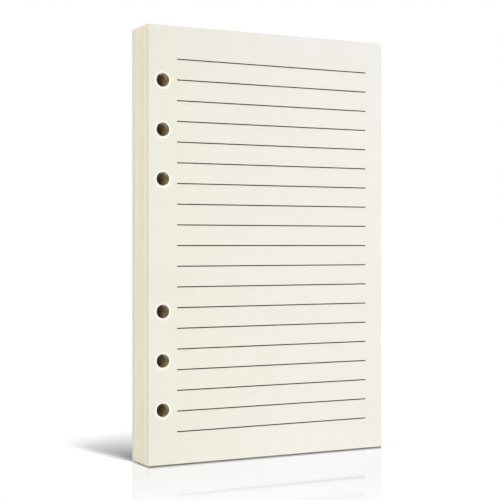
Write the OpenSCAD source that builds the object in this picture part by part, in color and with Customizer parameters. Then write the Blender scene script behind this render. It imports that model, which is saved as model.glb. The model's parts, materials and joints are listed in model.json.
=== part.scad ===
// Stack of loose ruled sheets for a six-ring binder, punched and squared up
// It stands on its bottom edge, with the front page towards -Y and the punched edge at -X
// The origin is the middle of the bottom edge, halfway through the stack's thickness

/* [Sheets] */
// Number of sheets in the stack
sheet_count = 128; // [40:1:160]
// Thickness of one sheet
sheet_t = 0.125; // [0.1:0.005:0.2]
// Width of a sheet, from the punched edge to the fore edge
sheet_w = 106.5; // [95:0.5:130]
// Height of a sheet
sheet_h = 169.5; // [150:0.5:210]
// Depth of the groove between two sheet edges
groove_depth = 0.1; // [0.05:0.01:0.3]
// Width of the groove between two sheet edges
groove_w = 0.03; // [0.02:0.005:0.06]

/* [Ring holes] */
// Diameter of a punched hole
hole_d = 5.3; // [4:0.1:6.5]
// Distance from the punched edge to the middle of a hole
hole_inset = 6; // [4.5:0.1:8]
// Distance between two neighbouring holes of a group
hole_pitch = 19; // [12:0.5:20]
// Number of holes in a group
group_size = 3; // [1:1:3]
// Distance between the inner holes of the upper and the lower group
group_gap = 51; // [30:0.5:60]

/* [Ruling] */
// Distance between two ruled lines
line_pitch = 8; // [5:0.5:12]
// Width of a ruled line
line_w = 0.4; // [0.1:0.05:1]
// Height of the ink above the paper
ink_t = 0.04; // [0.02:0.01:0.1]
// Distance from the top edge to the middle of the first line
top_margin = 12.8; // [5:0.1:30]
// Least distance from the middle of the last line to the bottom edge
bottom_margin = 12; // [5:0.1:30]
// Blank margin between the punched edge and the lines
punched_margin = 12; // [10:0.1:30]
// Blank margin between the lines and the fore edge
fore_margin = 8; // [3:0.1:20]

/* [Hidden] */

stack_t = sheet_count * sheet_t;

// A sheet shows a little thinner at its edge, where the grooves take their share
edge_t = (stack_t - (sheet_count - 1) * groove_w) / sheet_count;

// The ring holes are centred on the height of the page
hole_x = hole_inset - sheet_w / 2;
hole_from_middle = [for (i = [0:group_size - 1]) group_gap / 2 + i * hole_pitch];

// The ruling starts below the top margin and goes on as long as lines fit
line_count = 1 + floor((sheet_h - top_margin - bottom_margin) / line_pitch);
line_length = sheet_w - punched_margin - fore_margin;

paper_color = [0.94, 0.93, 0.88];
ink_color = [0.25, 0.23, 0.21];

// A plate of the stack that is set in from the sheets' edges and fills a part of the thickness
module plate(inset, from_front, thickness) {
    translate([inset - sheet_w / 2, from_front - stack_t / 2, inset])
        cube([sheet_w - 2 * inset, thickness, sheet_h - 2 * inset]);
}

module ring_hole(z) {
    translate([hole_x, 0, z])
        rotate([90, 0, 0])
            cylinder(h = stack_t + 2, d = hole_d, center = true, $fn = 64);
}

// All the sheets as one solid, with a groove round the edges between each sheet and the next
module sheet_stack() {
    color(paper_color)
        difference() {
            union() {
                plate(groove_depth, 0, stack_t);
                for (i = [0:sheet_count - 1])
                    plate(0, i * (edge_t + groove_w), edge_t);
            }
            for (away = hole_from_middle) {
                ring_hole(sheet_h / 2 - away);
                ring_hole(sheet_h / 2 + away);
            }
        }
}

// One page's ruled lines, printed on the face whose ink starts at the depth y
module ruling(y) {
    color(ink_color)
        for (i = [0:line_count - 1])
            translate([punched_margin - sheet_w / 2, y, sheet_h - top_margin - i * line_pitch - line_w / 2])
                cube([line_length, ink_t, line_w]);
}

module ruling_front() {
    ruling(-stack_t / 2 - ink_t);
}

module ruling_back() {
    ruling(stack_t / 2);
}

sheet_stack();
ruling_front();
ruling_back();
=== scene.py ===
import json
import math

import bpy
from mathutils import Euler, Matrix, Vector


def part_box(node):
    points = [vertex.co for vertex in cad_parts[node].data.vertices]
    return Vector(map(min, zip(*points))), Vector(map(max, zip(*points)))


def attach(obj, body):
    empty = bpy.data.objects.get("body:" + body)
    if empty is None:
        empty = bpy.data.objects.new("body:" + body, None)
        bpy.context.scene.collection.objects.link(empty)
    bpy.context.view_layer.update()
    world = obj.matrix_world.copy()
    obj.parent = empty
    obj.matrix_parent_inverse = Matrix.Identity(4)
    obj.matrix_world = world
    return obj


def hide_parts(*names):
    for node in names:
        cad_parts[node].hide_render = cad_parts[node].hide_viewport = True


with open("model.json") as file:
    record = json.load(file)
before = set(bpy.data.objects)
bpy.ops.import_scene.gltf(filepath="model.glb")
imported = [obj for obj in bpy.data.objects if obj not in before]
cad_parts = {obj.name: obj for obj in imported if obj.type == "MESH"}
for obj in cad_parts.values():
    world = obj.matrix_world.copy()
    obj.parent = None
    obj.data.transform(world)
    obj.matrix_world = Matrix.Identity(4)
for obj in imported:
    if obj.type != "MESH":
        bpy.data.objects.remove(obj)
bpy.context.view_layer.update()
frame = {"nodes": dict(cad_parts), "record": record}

# The stack of punched sheets, all in metres
SHEET_COUNT = 128
LEAF_SHARE = 0.94          # share of a sheet's pitch that is paper, the rest is air
HOLE_SIDES = 40            # flats round one punched hole
SIDE_JOG = 0.00007         # how far sheets stand out of line at the long edges
FOOT_LIFT = 0.0003         # how unevenly the sheets reach the table
HOLE_DROP = 0.1            # share of that by which the holes lie lower in their sheet
CARRIER_SPACING = 43.0     # one sheet in so many stands on the table and carries the rest
CARRIER_START = 20.0       # how many sheets before the first page that count starts
DROP_POWER = 8.0           # the higher it is, the fewer other sheets come near the table
BUNDLE_SPREAD = 0.00012    # how far bundles of sheets drift apart through the stack
DRIFT_STEP = 0.09          # how quickly one sheet's place differs from the next one's
SHUFFLE_SEED = 11

# The view that the photograph was taken from
CAMERA_PLACE = (-0.25452, -0.46741, 0.08486)
CAMERA_YAW = 28.091
CAMERA_TILT = -0.213
LENS = 94.22

# Light on a plain surface: 1.0 shows a colour as it is written
SKY_FRONT = 0.42
SKY_BACK = 0.05
TOP_STRIP = {"from": (0.013, -0.253, 0.967), "away": 6.0, "size": (0.27, 2.30), "turn": 10.0, "level": 0.85}
RIGHT_PANEL = {"from": (0.62, -0.78, -0.03), "away": 0.75, "size": (0.40, 0.12), "turn": 0.0, "level": 0.22}
LEFT_PANEL = {"from": (-0.74, -0.66, 0.12), "away": 2.0, "size": (0.90, 0.90), "turn": 0.0, "level": 0.24}
SIDE_PANEL = {"from": (-0.99, 0.10, 0.10), "away": 2.0, "size": (0.90, 0.90), "turn": 0.0, "level": 0.57}
LAMP_AIM = (0.0, 0.0, 0.085)

# The table under the stack
TABLE_BOUNCE = 0.5
TABLE_SEEN = 0.93          # share of the light that its matt part shows, so that shadows alone darken it
SHADOW_FADE = (0.080, 0.108)   # distance over which the shadow's tip fades into the white background
SHADOW_WIDEN = 1.25        # in it, distance along the page's width counts so many times more
POLISH_END = (-0.002, 0.012)     # distance behind the stack's middle over which the polish ends
POLISH_WHITE = 1.004       # brightness of the polish where it mirrors only white
POLISH_ROUGHNESS = 0.065
MIRROR_END = (0.16, 0.32)  # distance from the stack's middle over which the mirroring ends
MIRROR_NEAR = 0.66         # share of the light that the polish mirrors close to the stack
MIRROR_FAR = 0.30          # and further in front of it
MIRROR_FADE = (0.045, 0.095)   # distance in front of the stack over which the one turns into the other
MIRROR_SIDE = 0.62         # share of that which is left where the punched side is mirrored
MIRROR_TINT = (0.905, 0.925, 1.0, 1.0)
MIRROR_TILT = 0.006        # slope at which it mirrors, rising away from the camera, which shortens the image
CORNER_BLUR = 0.0006       # half the width over which two areas meet at a front corner
CONTACT_REACH = 0.006      # how far the painted contact shadow under the loose sheets spreads in front of them
CONTACT_SIDE = 2.8         # how many times narrower it is at the punched side
CONTACT_FORE = 60.0        # and at the fore edge
CONTACT_LEVEL = 0.3        # brightness that is left in it

STACK_LOW, STACK_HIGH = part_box("sheet_stack")
STACK = STACK_HIGH - STACK_LOW
STACK_MIDDLE = (STACK_LOW.z + STACK_HIGH.z) / 2


def ring_holes():
    """Radius, distance from the page's middle line, pitch and inner height of the holes in the record."""
    holes = [m for m in frame["record"]["mounts"] if m["name"].startswith("ring_hole")]
    above = sorted(m["pos_m"][2] - STACK_MIDDLE for m in holes if m["pos_m"][2] > STACK_MIDDLE)
    return {
        "radius": holes[0]["dims"]["r_mm"] / 1000,
        "x": holes[0]["pos_m"][0],
        "pitch": above[1] - above[0],
        "inner": above[0],
        "group": len(above),
    }


HOLES = ring_holes()


def add(tree, kind, inputs=None, **settings):
    """A new node. What goes into an input is a plain value or another node's output."""
    node = tree.nodes.new(kind)
    for name, value in settings.items():
        setattr(node, name, value)
    for key, value in (inputs or {}).items():
        socket = node.inputs[key]
        if isinstance(value, bpy.types.NodeSocket):
            tree.links.new(value, socket)
        else:
            socket.default_value = value
    return node


def calc(tree, operation, *values):
    """The output of a Math node."""
    return add(tree, "ShaderNodeMath", dict(enumerate(values)), operation=operation).outputs[0]


def vector(tree, x=0.0, y=0.0, z=0.0):
    return add(tree, "ShaderNodeCombineXYZ", {"X": x, "Y": y, "Z": z}).outputs[0]


def chance(tree, low, high, seed):
    """A number drawn once for each sheet."""
    index = add(tree, "GeometryNodeInputIndex").outputs[0]
    inputs = {2: low, 3: high, "ID": index, "Seed": seed}
    return add(tree, "FunctionNodeRandomValue", inputs, data_type="FLOAT").outputs[1]


def drift(tree, offset):
    """A number from about -1 to 1 that changes slowly from one sheet to the next."""
    index = add(tree, "GeometryNodeInputIndex").outputs[0]
    place = calc(tree, "MULTIPLY_ADD", index, DRIFT_STEP, offset)
    inputs = {"W": place, "Scale": 1.0, "Detail": 2.0}
    wander = add(tree, "ShaderNodeTexNoise", inputs, noise_dimensions="1D").outputs[0]
    return calc(tree, "MULTIPLY_ADD", wander, 4.0, -2.0)


def sheet_outline(tree, size):
    """A flat sheet with its ring holes, lying in the XY plane with its middle at the origin."""
    edge = add(
        tree,
        "GeometryNodeCurvePrimitiveQuadrilateral",
        {"Width": size["Sheet width"], "Height": size["Sheet height"]},
        mode="RECTANGLE",
    )
    hole = add(
        tree,
        "GeometryNodeCurvePrimitiveCircle",
        {"Resolution": size["Hole sides"], "Radius": size["Hole radius"]},
        mode="RADIUS",
    )
    join = add(tree, "GeometryNodeJoinGeometry")
    for side in (1.0, -1.0):
        height = calc(tree, "MULTIPLY", size["Inner hole"], side)
        height = calc(tree, "MULTIPLY_ADD", size["Foot lift"], -HOLE_DROP, height)
        start = vector(tree, size["Hole place"], height)
        step = vector(tree, 0.0, calc(tree, "MULTIPLY", size["Hole pitch"], side))
        row = add(
            tree,
            "GeometryNodeMeshLine",
            {"Count": size["Holes in a group"], "Start Location": start, "Offset": step},
            mode="OFFSET",
        )
        holes = add(
            tree,
            "GeometryNodeInstanceOnPoints",
            {"Points": row.outputs[0], "Instance": hole.outputs[0]},
        )
        tree.links.new(holes.outputs[0], join.inputs[0])
    tree.links.new(edge.outputs[0], join.inputs[0])
    plain = add(tree, "GeometryNodeRealizeInstances", {0: join.outputs[0]})
    return add(tree, "GeometryNodeFillCurve", {0: plain.outputs[0]}, mode="TRIANGLES").outputs[0]


def punched_sheet(tree, size):
    """One closed sheet that stands on its bottom edge, with its front page at Y = 0.
    The attribute surface_kind is 0 on a page, 1 on a cut edge and 2 in a punched hole."""
    page = sheet_outline(tree, size)
    thick = add(
        tree,
        "GeometryNodeExtrudeMesh",
        {"Mesh": page, "Offset Scale": size["Leaf thickness"], "Individual": False},
        mode="FACES",
    )
    place = add(tree, "ShaderNodeSeparateXYZ", {0: add(tree, "GeometryNodeInputPosition").outputs[0]})
    inside = 1.0
    for axis, length in (("X", "Sheet width"), ("Y", "Sheet height")):
        reach = calc(tree, "ABSOLUTE", place.outputs[axis])
        limit = calc(tree, "MULTIPLY_ADD", size[length], 0.5, -0.0005)
        inside = calc(tree, "MULTIPLY", inside, calc(tree, "LESS_THAN", reach, limit))
    kind = calc(tree, "MULTIPLY", thick.outputs["Side"], calc(tree, "ADD", inside, 1.0))
    marked = add(
        tree,
        "GeometryNodeStoreNamedAttribute",
        {"Geometry": thick.outputs[0], "Name": "surface_kind", "Value": kind},
        data_type="FLOAT",
        domain="FACE",
    )
    back = add(tree, "GeometryNodeFlipFaces", {0: page})
    both = add(tree, "GeometryNodeJoinGeometry")
    tree.links.new(marked.outputs[0], both.inputs[0])
    tree.links.new(back.outputs[0], both.inputs[0])
    closed = add(tree, "GeometryNodeMergeByDistance", {0: both.outputs[0], "Distance": 0.000001})
    return add(
        tree,
        "GeometryNodeTransform",
        {
            "Geometry": closed.outputs[0],
            "Translation": vector(tree, 0.0, size["Leaf thickness"]),
            "Rotation": (math.radians(90), 0.0, 0.0),
        },
    ).outputs[0]


SIZE_SOCKETS = {
    "Sheet width": "NodeSocketFloat",
    "Sheet height": "NodeSocketFloat",
    "Stack thickness": "NodeSocketFloat",
    "Sheet count": "NodeSocketInt",
    "Leaf thickness": "NodeSocketFloat",
    "Hole radius": "NodeSocketFloat",
    "Hole sides": "NodeSocketInt",
    "Hole place": "NodeSocketFloat",
    "Inner hole": "NodeSocketFloat",
    "Hole pitch": "NodeSocketFloat",
    "Holes in a group": "NodeSocketInt",
    "Side jog": "NodeSocketFloat",
    "Foot lift": "NodeSocketFloat",
    "Carrier spacing": "NodeSocketFloat",
    "Bundle spread": "NodeSocketFloat",
    "Seed": "NodeSocketInt",
    "Page": "NodeSocketMaterial",
    "Cut edge": "NodeSocketMaterial",
    "Punched wall": "NodeSocketMaterial",
}


def sheet_stack_tree():
    """Geometry Nodes that pile up loose punched sheets, each a little out of line."""
    tree = bpy.data.node_groups.new("loose_sheet_stack", "GeometryNodeTree")
    tree.interface.new_socket("Geometry", in_out="OUTPUT", socket_type="NodeSocketGeometry")
    for name, kind in SIZE_SOCKETS.items():
        tree.interface.new_socket(name, in_out="INPUT", socket_type=kind)
    size = add(tree, "NodeGroupInput").outputs

    sheet = punched_sheet(tree, size)
    last = calc(tree, "SUBTRACT", size["Sheet count"], 1.0)
    room = calc(tree, "SUBTRACT", size["Stack thickness"], size["Leaf thickness"])
    places = add(
        tree,
        "GeometryNodeMeshLine",
        {
            "Count": size["Sheet count"],
            "Start Location": vector(
                tree,
                0.0,
                calc(tree, "MULTIPLY", size["Stack thickness"], -0.5),
                calc(tree, "MULTIPLY", size["Sheet height"], 0.5),
            ),
            "Offset": vector(tree, 0.0, calc(tree, "DIVIDE", room, last)),
        },
        mode="OFFSET",
    )
    pile = add(tree, "GeometryNodeInstanceOnPoints", {"Points": places.outputs[0], "Instance": sheet})

    seed = size["Seed"]
    index = add(tree, "GeometryNodeInputIndex").outputs[0]
    turn = calc(tree, "MULTIPLY", calc(tree, "DIVIDE", index, last), math.pi)
    middle = calc(tree, "SINE", turn)
    sideways = calc(tree, "MULTIPLY_ADD", chance(tree, -1.0, 1.0, seed), 0.5, drift(tree, 3.7))
    drop = calc(tree, "POWER", chance(tree, 0.0, 1.0, calc(tree, "ADD", seed, 1.0)), DROP_POWER)
    turn_to_carry = calc(tree, "MODULO", calc(tree, "ADD", index, CARRIER_START), size["Carrier spacing"])
    drop = calc(tree, "MAXIMUM", drop, calc(tree, "LESS_THAN", turn_to_carry, 0.5))
    upwards = calc(tree, "SUBTRACT", 1.0, drop)
    through = calc(tree, "MULTIPLY", drift(tree, 8.2), middle)
    moved = add(
        tree,
        "GeometryNodeTranslateInstances",
        {
            "Instances": pile.outputs[0],
            "Translation": vector(
                tree,
                calc(tree, "MULTIPLY", sideways, size["Side jog"]),
                calc(tree, "MULTIPLY", through, size["Bundle spread"]),
                calc(tree, "MULTIPLY", upwards, size["Foot lift"]),
            ),
        },
    )
    toned = add(
        tree,
        "GeometryNodeStoreNamedAttribute",
        {
            "Geometry": moved.outputs[0],
            "Name": "sheet_tone",
            "Value": chance(tree, 0.0, 1.0, calc(tree, "ADD", seed, 2.0)),
        },
        data_type="FLOAT",
        domain="INSTANCE",
    )
    result = add(tree, "GeometryNodeRealizeInstances", {0: toned.outputs[0]}).outputs[0]

    kind = add(tree, "GeometryNodeInputNamedAttribute", {"Name": "surface_kind"}, data_type="FLOAT")
    kind = kind.outputs[0]
    in_hole = calc(tree, "GREATER_THAN", kind, 1.5)
    result = add(
        tree,
        "GeometryNodeSetShadeSmooth",
        {"Geometry": result, "Selection": True, "Shade Smooth": in_hole},
        domain="FACE",
    ).outputs[0]
    for least, name in ((-1.0, "Page"), (0.5, "Cut edge"), (1.5, "Punched wall")):
        chosen = calc(tree, "GREATER_THAN", kind, least)
        result = add(
            tree,
            "GeometryNodeSetMaterial",
            {"Geometry": result, "Selection": chosen, "Material": size[name]},
        ).outputs[0]
    add(tree, "NodeGroupOutput", {0: result})
    return tree


def plain_mesh_from(name, tree, values):
    """What the tree makes from the named values, as a plain mesh object with no modifier."""
    holder = bpy.data.objects.new(name, bpy.data.meshes.new(name + "_blank"))
    bpy.context.scene.collection.objects.link(holder)
    modifier = holder.modifiers.new("build", "NODES")
    modifier.node_group = tree
    for item in tree.interface.items_tree:
        if item.in_out == "INPUT":
            modifier[item.identifier] = values[item.name]
    graph = bpy.context.evaluated_depsgraph_get()
    mesh = bpy.data.meshes.new_from_object(
        holder.evaluated_get(graph), preserve_all_data_layers=True, depsgraph=graph
    )
    holder.modifiers.clear()
    holder.data = mesh
    return holder


def finish_material(name):
    """An empty node material with its Principled shader and the place of each point, in metres."""
    material = bpy.data.materials.new(name)
    material.use_nodes = True
    tree = material.node_tree
    tree.nodes.clear()
    shader = add(tree, "ShaderNodeBsdfPrincipled")
    add(tree, "ShaderNodeOutputMaterial", {"Surface": shader.outputs[0]})
    place = add(tree, "ShaderNodeTexCoord").outputs["Object"]
    return material, tree, shader, place


def noise(tree, place, scale, detail=2.0, rough=0.5, stretch=None):
    """Noise from 0 to 1. The scale is in repeats per metre, and stretch scales it along X, Y and Z."""
    if stretch:
        place = add(tree, "ShaderNodeMapping", {"Vector": place, "Scale": stretch}).outputs[0]
    inputs = {"Vector": place, "Scale": scale, "Detail": detail, "Roughness": rough}
    return add(tree, "ShaderNodeTexNoise", inputs).outputs[0]


def span(tree, value, low, high, to_low, to_high, curve="LINEAR"):
    """The value's place between low and high, carried over to the other pair and kept within it."""
    inputs = {0: value, 1: low, 2: high, 3: to_low, 4: to_high}
    return add(tree, "ShaderNodeMapRange", inputs, interpolation_type=curve).outputs[0]


def blend_colors(tree, factor, first, second, kind="MIX"):
    inputs = {0: factor, 6: first, 7: second}
    return add(tree, "ShaderNodeMix", inputs, data_type="RGBA", blend_type=kind).outputs[2]


def grey(level):
    return (level, level, level, 1.0)


def srgb(red, green, blue):
    """A colour given as the picture's 0 to 255 values, in the linear values that a shader takes."""
    def linear(value):
        share = value / 255
        return share / 12.92 if share <= 0.04045 else ((share + 0.055) / 1.055) ** 2.4
    return (linear(red), linear(green), linear(blue), 1.0)


def hole_distance(tree, place):
    """Distance in the page's plane from the middle of the nearest ring hole."""
    axes = add(tree, "ShaderNodeSeparateXYZ", {0: place})
    height = calc(tree, "ABSOLUTE", calc(tree, "SUBTRACT", axes.outputs["Z"], STACK_MIDDLE))
    steps = calc(tree, "DIVIDE", calc(tree, "SUBTRACT", height, HOLES["inner"]), HOLES["pitch"])
    nearest = calc(tree, "MAXIMUM", calc(tree, "ROUND", steps), 0.0)
    nearest = calc(tree, "MINIMUM", nearest, HOLES["group"] - 1.0)
    rise = calc(tree, "MULTIPLY", calc(tree, "SUBTRACT", steps, nearest), HOLES["pitch"])
    aside = calc(tree, "SUBTRACT", axes.outputs["X"], HOLES["x"])
    squares = calc(tree, "ADD", calc(tree, "MULTIPLY", rise, rise), calc(tree, "MULTIPLY", aside, aside))
    return calc(tree, "SQRT", squares)


def painted_page_light_and_shade(tree, place):
    """Colour by which the paper is multiplied: painted light and shade. A painted warm light tint at the
    punched edge and lower down, a little less so at the very foot, a cooler one towards the fore edge higher
    up, and painted shade at the top and bottom."""
    axes = add(tree, "ShaderNodeSeparateXYZ", {0: place})
    from_middle = calc(tree, "ABSOLUTE", calc(tree, "SUBTRACT", axes.outputs["Z"], STACK_MIDDLE))
    outer = span(tree, from_middle, 0.040, 0.085, 0.0, 1.0, "SMOOTHSTEP")
    fore = span(tree, axes.outputs["X"], STACK_LOW.x, 0.02, 0.0, 1.0, "SMOOTHSTEP")
    height = span(tree, axes.outputs["Z"], STACK_LOW.z, STACK_HIGH.z, 0.0, 1.0)
    foot = span(tree, axes.outputs["Z"], 0.012, 0.034, 0.4, 0.0, "SMOOTHSTEP")
    cooler = calc(tree, "MAXIMUM", calc(tree, "MULTIPLY", height, height), foot)
    cool = calc(tree, "MULTIPLY", fore, calc(tree, "MULTIPLY_ADD", cooler, 0.75, 0.25))
    # painted light tint: warmer towards the punched edge and lower down, cooler towards the fore edge higher
    # up
    tint = blend_colors(tree, cool, (1.0, 1.0, 0.968, 1.0), (1.012, 1.012, 1.062, 1.0))
    # painted shade: darker at the top and bottom of the page, half as much towards the fore edge
    painted_end_shade = calc(tree, "MULTIPLY", outer, calc(tree, "MULTIPLY_ADD", fore, -0.5, 1.0))
    return blend_colors(tree, calc(tree, "MULTIPLY", painted_end_shade, 0.035), tint, (0.0, 0.0, 0.0, 1.0))


def cream_page():
    """Uncoated cream writing paper, with a cloudy formation, fine fibres, a faint tooth
    and rims that the punch has raised, with a painted highlight round each hole and painted light and shade
    over the page."""
    material, tree, shader, place = finish_material("cream_page")
    from_hole = hole_distance(tree, place)
    cloud = noise(tree, place, 75.0, 3.0)
    fibre = noise(tree, place, 1500.0, 4.0, 0.65, (1.0, 1.0, 0.45))
    fleck = span(tree, noise(tree, place, 900.0, 2.0, 0.5, (0.5, 1.0, 1.0)), 0.68, 0.76, 0.0, 1.0)
    cloudy = span(tree, cloud, 0.35, 0.65, 0.0, 1.0)
    color = blend_colors(tree, cloudy, srgb(241, 238, 227), srgb(243, 241, 231))
    color = blend_colors(tree, span(tree, fibre, 0.3, 0.7, 0.0, 1.0), color, srgb(239, 236, 226))
    color = blend_colors(tree, calc(tree, "MULTIPLY", fleck, 0.35), color, srgb(226, 220, 203))
    # painted light tint and painted shade at the page's top and bottom
    color = blend_colors(tree, 1.0, color, painted_page_light_and_shade(tree, place), "MULTIPLY")
    # painted highlight: a bright ring round each punched hole
    painted_rim_highlight = span(tree, from_hole, HOLES["radius"] + 0.0005, HOLES["radius"] + 0.0012, 0.9, 0.0, "SMOOTHSTEP")
    color = blend_colors(tree, painted_rim_highlight, color, srgb(255, 253, 240))
    tree.links.new(color, shader.inputs["Base Color"])
    tree.links.new(span(tree, fibre, 0.3, 0.7, 0.78, 0.92), shader.inputs["Roughness"])
    shader.inputs["Specular IOR Level"].default_value = 0.25
    tooth = noise(tree, place, 5200.0, 3.0, 0.6)
    tooth_bump = add(tree, "ShaderNodeBump", {"Strength": 0.35, "Distance": 0.00002, "Height": tooth})
    rim = span(tree, from_hole, HOLES["radius"], HOLES["radius"] + 0.0007, 0.0, 1.0, "SMOOTHSTEP")
    rim_bump = add(
        tree,
        "ShaderNodeBump",
        {"Strength": 0.5, "Distance": 0.00006, "Height": rim, "Normal": tooth_bump.outputs[0]},
    )
    tree.links.new(rim_bump.outputs[0], shader.inputs["Normal"])
    return material


def cut_edge():
    """The guillotined edges of the sheets: warmer than the page, each in its own tone,
    with painted shade in the sheets near both faces."""
    material, tree, shader, place = finish_material("cut_edge")
    tone = add(tree, "ShaderNodeAttribute", attribute_name="sheet_tone").outputs["Fac"]
    streak = noise(tree, place, 260.0, 3.0, 0.6, (1.0, 1.0, 0.06))
    nap = noise(tree, place, 2600.0, 3.0, 0.6)
    color = blend_colors(tree, tone, srgb(236, 229, 208), srgb(243, 236, 216))
    color = blend_colors(tree, span(tree, streak, 0.35, 0.65, 0.0, 0.3), color, srgb(229, 221, 199))
    color = blend_colors(tree, span(tree, nap, 0.35, 0.7, 0.0, 0.4), color, srgb(226, 217, 194))
    axes = add(tree, "ShaderNodeSeparateXYZ", {0: place})
    depth = calc(tree, "SUBTRACT", STACK.y / 2, calc(tree, "ABSOLUTE", axes.outputs["Y"]))
    # painted shade: darker sheets near the front and back faces
    painted_face_shade = span(tree, depth, 0.0010, 0.0030, 0.7, 0.0, "SMOOTHSTEP")
    color = blend_colors(tree, painted_face_shade, color, srgb(219, 211, 192))
    tree.links.new(color, shader.inputs["Base Color"])
    tree.links.new(span(tree, nap, 0.3, 0.7, 0.85, 0.97), shader.inputs["Roughness"])
    shader.inputs["Specular IOR Level"].default_value = 0.15
    bump = add(tree, "ShaderNodeBump", {"Strength": 0.4, "Distance": 0.00003, "Height": nap})
    tree.links.new(bump.outputs[0], shader.inputs["Normal"])
    return material


def punched_wall():
    """The inside of a ring hole: torn and pressed fibre, in dark browns that are painted shade of the narrow
    bore, darker and greyer at its mouth and yellower deeper in.
    """
    material, tree, shader, place = finish_material("punched_wall")
    tone = add(tree, "ShaderNodeAttribute", attribute_name="sheet_tone").outputs["Fac"]
    axes = add(tree, "ShaderNodeSeparateXYZ", {0: place})
    depth = calc(tree, "SUBTRACT", STACK.y / 2, calc(tree, "ABSOLUTE", axes.outputs["Y"]))
    nap = noise(tree, place, 2200.0, 3.0, 0.6)
    inward = span(tree, depth, 0.0, 0.005, 0.0, 1.0, "SMOOTHSTEP")
    # painted shade of the bore: dark browns, darker at the mouth and yellower deeper in
    color = blend_colors(tree, inward, srgb(126, 110, 40), srgb(212, 172, 0))
    color = blend_colors(tree, calc(tree, "MULTIPLY", tone, 0.2), color, srgb(150, 118, 0))
    color = blend_colors(tree, span(tree, nap, 0.35, 0.7, 0.0, 0.3), color, srgb(140, 108, 0))
    tree.links.new(color, shader.inputs["Base Color"])
    shader.inputs["Roughness"].default_value = 0.95
    shader.inputs["Specular IOR Level"].default_value = 0.0
    bump = add(tree, "ShaderNodeBump", {"Strength": 0.5, "Distance": 0.00005, "Height": nap})
    tree.links.new(bump.outputs[0], shader.inputs["Normal"])
    return material


def ruling_ink():
    """Dark brown-grey printing ink that has soaked a little unevenly into the paper."""
    material, tree, shader, place = finish_material("ruling_ink")
    soak = noise(tree, place, 1800.0, 3.0, 0.6, (0.4, 1.0, 1.0))
    soaked = span(tree, soak, 0.35, 0.7, 0.0, 1.0)
    color = blend_colors(tree, soaked, srgb(34, 24, 4), srgb(50, 38, 14))
    tree.links.new(color, shader.inputs["Base Color"])
    tree.links.new(span(tree, soak, 0.3, 0.7, 0.65, 0.85), shader.inputs["Roughness"])
    shader.inputs["Specular IOR Level"].default_value = 0.1
    bump = add(tree, "ShaderNodeBump", {"Strength": 0.3, "Distance": 0.00001, "Height": soak})
    tree.links.new(bump.outputs[0], shader.inputs["Normal"])
    return material


def seen_directly(tree):
    """1 where the camera, or a mirror or glass that it looks at, sees the surface."""
    path = add(tree, "ShaderNodeLightPath").outputs
    glossy_too = calc(tree, "MAXIMUM", path["Is Camera Ray"], path["Is Glossy Ray"])
    return calc(tree, "MAXIMUM", glossy_too, path["Is Transmission Ray"])


def inside_band(tree, value, half_width):
    """1 where the value lies within the half width on either side of 0."""
    return calc(tree, "LESS_THAN", calc(tree, "ABSOLUTE", value), half_width)


def right_of_corner(tree, axes, x):
    """How far a point of the table lies to the right of the line from a front corner towards the camera."""
    corner = Vector((x, STACK_LOW.y))
    toward = (Vector(CAMERA_PLACE[:2]) - corner).normalized()
    aside = calc(tree, "MULTIPLY_ADD", axes.outputs["X"], -toward.y, toward.y * corner.x)
    aside = calc(tree, "MULTIPLY_ADD", axes.outputs["Y"], toward.x, aside)
    return calc(tree, "SUBTRACT", aside, toward.x * corner.y)


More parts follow.
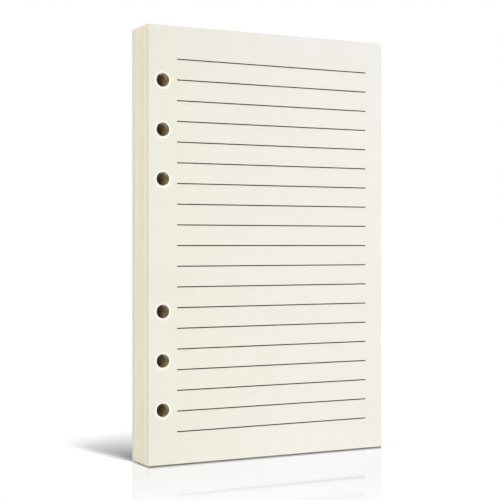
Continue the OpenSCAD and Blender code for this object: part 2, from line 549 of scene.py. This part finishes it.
def pale_table():
    """A white table top with a polish that mirrors the front of the stack, and a painted contact shadow
    just along the stack's foot. It takes the shadow behind the stack, and fades into the white background
    away from it."""
    material = bpy.data.materials.new("pale_table")
    material.use_nodes = True
    tree = material.node_tree
    tree.nodes.clear()
    seen = seen_directly(tree)
    place = add(tree, "ShaderNodeTexCoord").outputs["Object"]
    axes = add(tree, "ShaderNodeSeparateXYZ", {0: place})
    across = inside_band(tree, axes.outputs["X"], STACK.x / 2)
    under = calc(tree, "MULTIPLY", across, inside_band(tree, axes.outputs["Y"], STACK.y / 2))
    forward = span(tree, axes.outputs["Y"], *POLISH_END, 1.0, 0.0, "SMOOTHSTEP")
    polished = calc(tree, "MULTIPLY", forward, calc(tree, "SUBTRACT", 1.0, under))
    # painted contact shadow on the table along the stack's foot, narrower at the punched side and the fore
    # edge
    past = calc(tree, "SUBTRACT", calc(tree, "ABSOLUTE", axes.outputs["Y"]), STACK.y / 2)
    punched = calc(tree, "MULTIPLY_ADD", axes.outputs["X"], -CONTACT_SIDE, CONTACT_SIDE * STACK_LOW.x)
    fore = calc(tree, "MULTIPLY", right_of_corner(tree, axes, STACK_HIGH.x), CONTACT_FORE)
    past = calc(tree, "MAXIMUM", past, calc(tree, "MAXIMUM", punched, fore))
    open_share = span(tree, past, 0.0, CONTACT_REACH, CONTACT_LEVEL, 1.0, "SMOOTHSTEP")
    away = add(tree, "ShaderNodeVectorMath", {0: place}, operation="LENGTH").outputs["Value"]
    far = span(tree, away, *MIRROR_END, 0.0, 1.0, "SMOOTHSTEP")
    tip = add(tree, "ShaderNodeMapping", {"Vector": place, "Scale": (SHADOW_WIDEN, 1.0, 1.0)}).outputs[0]
    tip = add(tree, "ShaderNodeVectorMath", {0: tip}, operation="LENGTH").outputs["Value"]
    faded = span(tree, tip, *SHADOW_FADE, 0.0, 1.0, "SMOOTHSTEP")

    toward = Vector((CAMERA_PLACE[0], CAMERA_PLACE[1], 0.0)).normalized()
    nearer = add(tree, "ShaderNodeVectorMath", {0: place, 1: toward}, operation="DOT_PRODUCT")
    nearer = nearer.outputs["Value"]
    mirror = span(tree, nearer, *MIRROR_FADE, MIRROR_NEAR, MIRROR_FAR)
    beside = right_of_corner(tree, axes, STACK_LOW.x)
    beside = span(tree, beside, -CORNER_BLUR, CORNER_BLUR, MIRROR_SIDE, 1.0)
    for share in (polished, calc(tree, "SUBTRACT", 1.0, far), seen, beside):
        mirror = calc(tree, "MULTIPLY", mirror, share)
    mirror_open = calc(tree, "MULTIPLY", mirror, open_share)
    rest = calc(tree, "MULTIPLY_ADD", mirror, -MIRROR_TINT[0], POLISH_WHITE)
    glow = calc(tree, "DIVIDE", rest, calc(tree, "SUBTRACT", 1.0, mirror_open))

    matt = blend_colors(tree, seen, grey(TABLE_BOUNCE), grey(TABLE_SEEN))
    matt = add(tree, "ShaderNodeBsdfDiffuse", {"Color": matt})
    strength = calc(tree, "MULTIPLY", glow, open_share)
    white = add(tree, "ShaderNodeEmission", {"Color": grey(1.0), "Strength": strength})
    tilted = vector(tree, toward.x * MIRROR_TILT, toward.y * MIRROR_TILT, 1.0)
    tilted = add(tree, "ShaderNodeVectorMath", {0: tilted}, operation="NORMALIZE").outputs[0]
    inputs = {"Color": MIRROR_TINT, "Roughness": POLISH_ROUGHNESS, "Normal": tilted}
    gloss = add(tree, "ShaderNodeBsdfGlossy", inputs)
    lit = calc(tree, "MULTIPLY", calc(tree, "MAXIMUM", polished, faded), seen)
    base = add(tree, "ShaderNodeMixShader", {0: lit, 1: matt.outputs[0], 2: white.outputs[0]})
    top = add(tree, "ShaderNodeMixShader", {0: mirror_open, 1: base.outputs[0], 2: gloss.outputs[0]})
    add(tree, "ShaderNodeOutputMaterial", {"Surface": top.outputs[0]})
    return material


def studio_table():
    mesh = bpy.data.meshes.new("studio_table")
    reach = 4.0
    corners = [(-reach, -reach, 0.0), (reach, -reach, 0.0), (reach, reach, 0.0), (-reach, reach, 0.0)]
    mesh.from_pydata(corners, [], [(0, 1, 2, 3)])
    mesh.materials.append(pale_table())
    table = bpy.data.objects.new("studio_table", mesh)
    bpy.context.scene.collection.objects.link(table)


def studio_world():
    """White where it is seen, and a plain soft light, weaker from behind, on what it shines on."""
    world = bpy.data.worlds.new("studio_world")
    world.use_nodes = True
    tree = world.node_tree
    tree.nodes.clear()
    direction = add(tree, "ShaderNodeTexCoord").outputs["Generated"]
    backward = add(tree, "ShaderNodeSeparateXYZ", {0: direction}).outputs["Y"]
    shine = span(tree, backward, -1.0, 1.0, SKY_FRONT, SKY_BACK)
    level = calc(tree, "MAXIMUM", shine, seen_directly(tree))
    back = add(tree, "ShaderNodeBackground", {"Color": grey(1.0), "Strength": level})
    add(tree, "ShaderNodeOutputWorld", {"Surface": back.outputs[0]})
    bpy.context.scene.world = world


def softbox(name, lamp):
    """A glowing panel that faces the stack. Its level is what it gives a surface that faces it."""
    light = bpy.data.lights.new(name, "AREA")
    light.shape = "RECTANGLE"
    light.size, light.size_y = lamp["size"]
    light.energy = lamp["level"] * (math.pi * lamp["away"]) ** 2
    holder = bpy.data.objects.new(name, light)
    toward = Vector(lamp["from"]).normalized()
    holder.location = Vector(LAMP_AIM) + toward * lamp["away"]
    roll = Euler((0.0, 0.0, math.radians(lamp["turn"]))).to_quaternion()
    holder.rotation_euler = (toward.to_track_quat("Z", "Y") @ roll).to_euler()
    bpy.context.scene.collection.objects.link(holder)


def camera_of_the_photo():
    lens = bpy.data.cameras.new("photo_view")
    lens.lens = LENS
    lens.sensor_width = 36.0
    lens.clip_start = 0.01
    holder = bpy.data.objects.new("photo_view", lens)
    holder.location = CAMERA_PLACE
    holder.rotation_euler = (math.radians(90 + CAMERA_TILT), 0.0, math.radians(-CAMERA_YAW))
    bpy.context.scene.collection.objects.link(holder)
    bpy.context.scene.camera = holder


def loose_sheets():
    """All the sheets of the stack, one closed solid each, in one piece."""
    pitch = STACK.y / SHEET_COUNT
    piece = plain_mesh_from(
        "loose_sheets",
        sheet_stack_tree(),
        {
            "Sheet width": STACK.x,
            "Sheet height": STACK.z - FOOT_LIFT,
            "Stack thickness": STACK.y,
            "Sheet count": SHEET_COUNT,
            "Leaf thickness": pitch * LEAF_SHARE,
            "Hole radius": HOLES["radius"],
            "Hole sides": HOLE_SIDES,
            "Hole place": HOLES["x"],
            "Inner hole": HOLES["inner"],
            "Hole pitch": HOLES["pitch"],
            "Holes in a group": HOLES["group"],
            "Side jog": SIDE_JOG,
            "Foot lift": FOOT_LIFT,
            "Carrier spacing": CARRIER_SPACING,
            "Bundle spread": BUNDLE_SPREAD,
            "Seed": SHUFFLE_SEED,
            "Page": cream_page(),
            "Cut edge": cut_edge(),
            "Punched wall": punched_wall(),
        },
    )
    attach(piece, "root")
    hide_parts("sheet_stack")
    return piece


def printed_ruling():
    """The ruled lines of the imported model, in ink."""
    ink = ruling_ink()
    for name in ("ruling_front", "ruling_back"):
        for slot in frame["nodes"][name].material_slots:
            slot.material = ink


camera_of_the_photo()
studio_table()
studio_world()
softbox("top_strip", TOP_STRIP)
softbox("right_panel", RIGHT_PANEL)
softbox("left_panel", LEFT_PANEL)
softbox("side_panel", SIDE_PANEL)
bpy.context.scene.view_settings.view_transform = "Standard"

loose_sheets()
printed_ruling()
